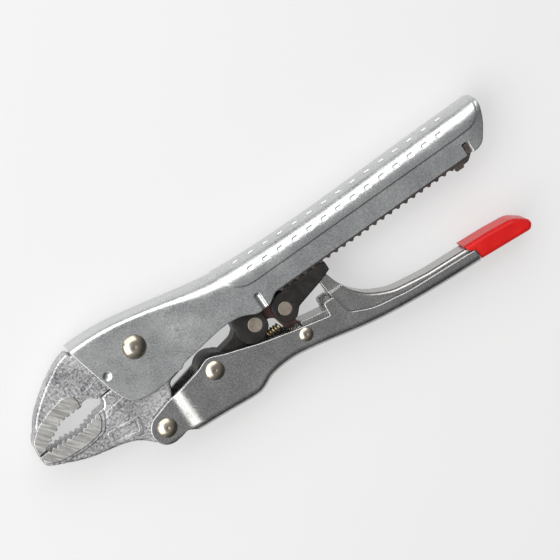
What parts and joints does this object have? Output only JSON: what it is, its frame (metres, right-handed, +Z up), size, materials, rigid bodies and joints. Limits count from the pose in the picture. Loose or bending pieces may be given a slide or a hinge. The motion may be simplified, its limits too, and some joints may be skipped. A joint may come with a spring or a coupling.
{
  "type": "locking pliers",
  "caption": "Self-adjusting locking pliers with curved serrated jaws, a toothed rack under the upper handle, a toggle linkage and a red-gripped release lever, locked and lying on one side.",
  "frame": {"origin": "under the middle of the tool's bounding box, on the surface that it rests on", "axes": "+X along the upper handle from the jaws to its rear end, +Y from the lower handle to the back of the upper handle, +Z up through the thickness"},
  "size_m": [0.2482, 0.0758, 0.0224],
  "materials": {
    "upper_sheet": "satin nickel plated sheet",
    "lower_sheet": "satin nickel plated sheet",
    "lever_sheet": "satin nickel plated sheet",
    "forged_jaw": "blasted nickel plated forging, ground jaw faces",
    "rivet": "polished nickel, a little warm",
    "pin": "ground steel",
    "rack": "dark brown phosphate",
    "black_steel": "black oxide",
    "brown_steel": "dark brown oxide",
    "spring_wire": "drawn wire",
    "brass_wire": "yellow zinc or brass",
    "red_vinyl": "dipped vinyl, glossy"
  },
  "bodies": {
    "frame": {"upper_handle": "upper_sheet", "fixed_jaw": "forged_jaw", "rack_strip": "rack", "jaw_pivot_rivet": "rivet", "spring_anchor_pin": "pin"},
    "lower_jaw": {"lower_jaw": "forged_jaw", "jaw_spring": "spring_wire"},
    "lower_handle": {"lower_handle": "lower_sheet", "handle_jaw_rivet": "rivet", "toggle_rivet": "rivet", "lever_rivet": "rivet", "lever_spring": "spring_wire"},
    "toggle_link": {"toggle_link": "black_steel", "link_pin": "pin"},
    "slider_link": {"slider_link": "brown_steel", "tail_spring": "brass_wire"},
    "shoe": {"shoe": "black_steel", "shoe_pin": "pin"},
    "release_lever": {"release_lever": "lever_sheet", "lever_grip": "red_vinyl"}
  },
  "joints": [
    {"name": "jaw_open", "type": "hinge", "parent": "frame", "child": "lower_jaw", "pos_m": [-0.0627, 0.02232, 0.0112], "axis": [0, 0, 1], "range_deg": [0, 28], "deforming": ["jaw_spring"]},
    {"name": "handle_swing", "type": "hinge", "parent": "lower_jaw", "child": "lower_handle", "pos_m": [-0.07069, -0.01628, 0.0112], "axis": [0, 0, 1], "range_deg": [-64.6, 0]},
    {"name": "toggle_swing", "type": "hinge", "parent": "frame", "child": "toggle_link", "pos_m": [-0.0131, -0.00128, 0.0112], "axis": [0, 0, 1], "range_deg": [0, 57.8]},
    {"name": "release", "type": "hinge", "parent": "lower_handle", "child": "release_lever", "pos_m": [0.00311, -0.01748, 0.0112], "axis": [0, 0, 1], "range_deg": [0, 7], "stiffness_Nm_per_rad": 1.5, "springref_deg": -5.73},
    {"name": "slider_tilt", "type": "hinge", "parent": "frame", "child": "slider_link", "pos_m": [-0.0131, -0.00128, 0.0112], "axis": [0, 0, 1], "range_deg": [-4.05, 0]},
    {"name": "shoe_tilt", "type": "hinge", "parent": "slider_link", "child": "shoe", "pos_m": [0.00191, -0.00308, 0.0112], "axis": [0, 0, 1], "range_deg": [0, 4.05]}
  ],
  "couplings": [
    {"joint": "handle_swing", "follows": "jaw_open", "ratio": -2.3042},
    {"joint": "toggle_swing", "follows": "jaw_open", "ratio": 2.0625},
    {"joint": "slider_tilt", "follows": "release", "ratio": -0.571},
    {"joint": "shoe_tilt", "follows": "release", "ratio": 0.571}
  ]
}
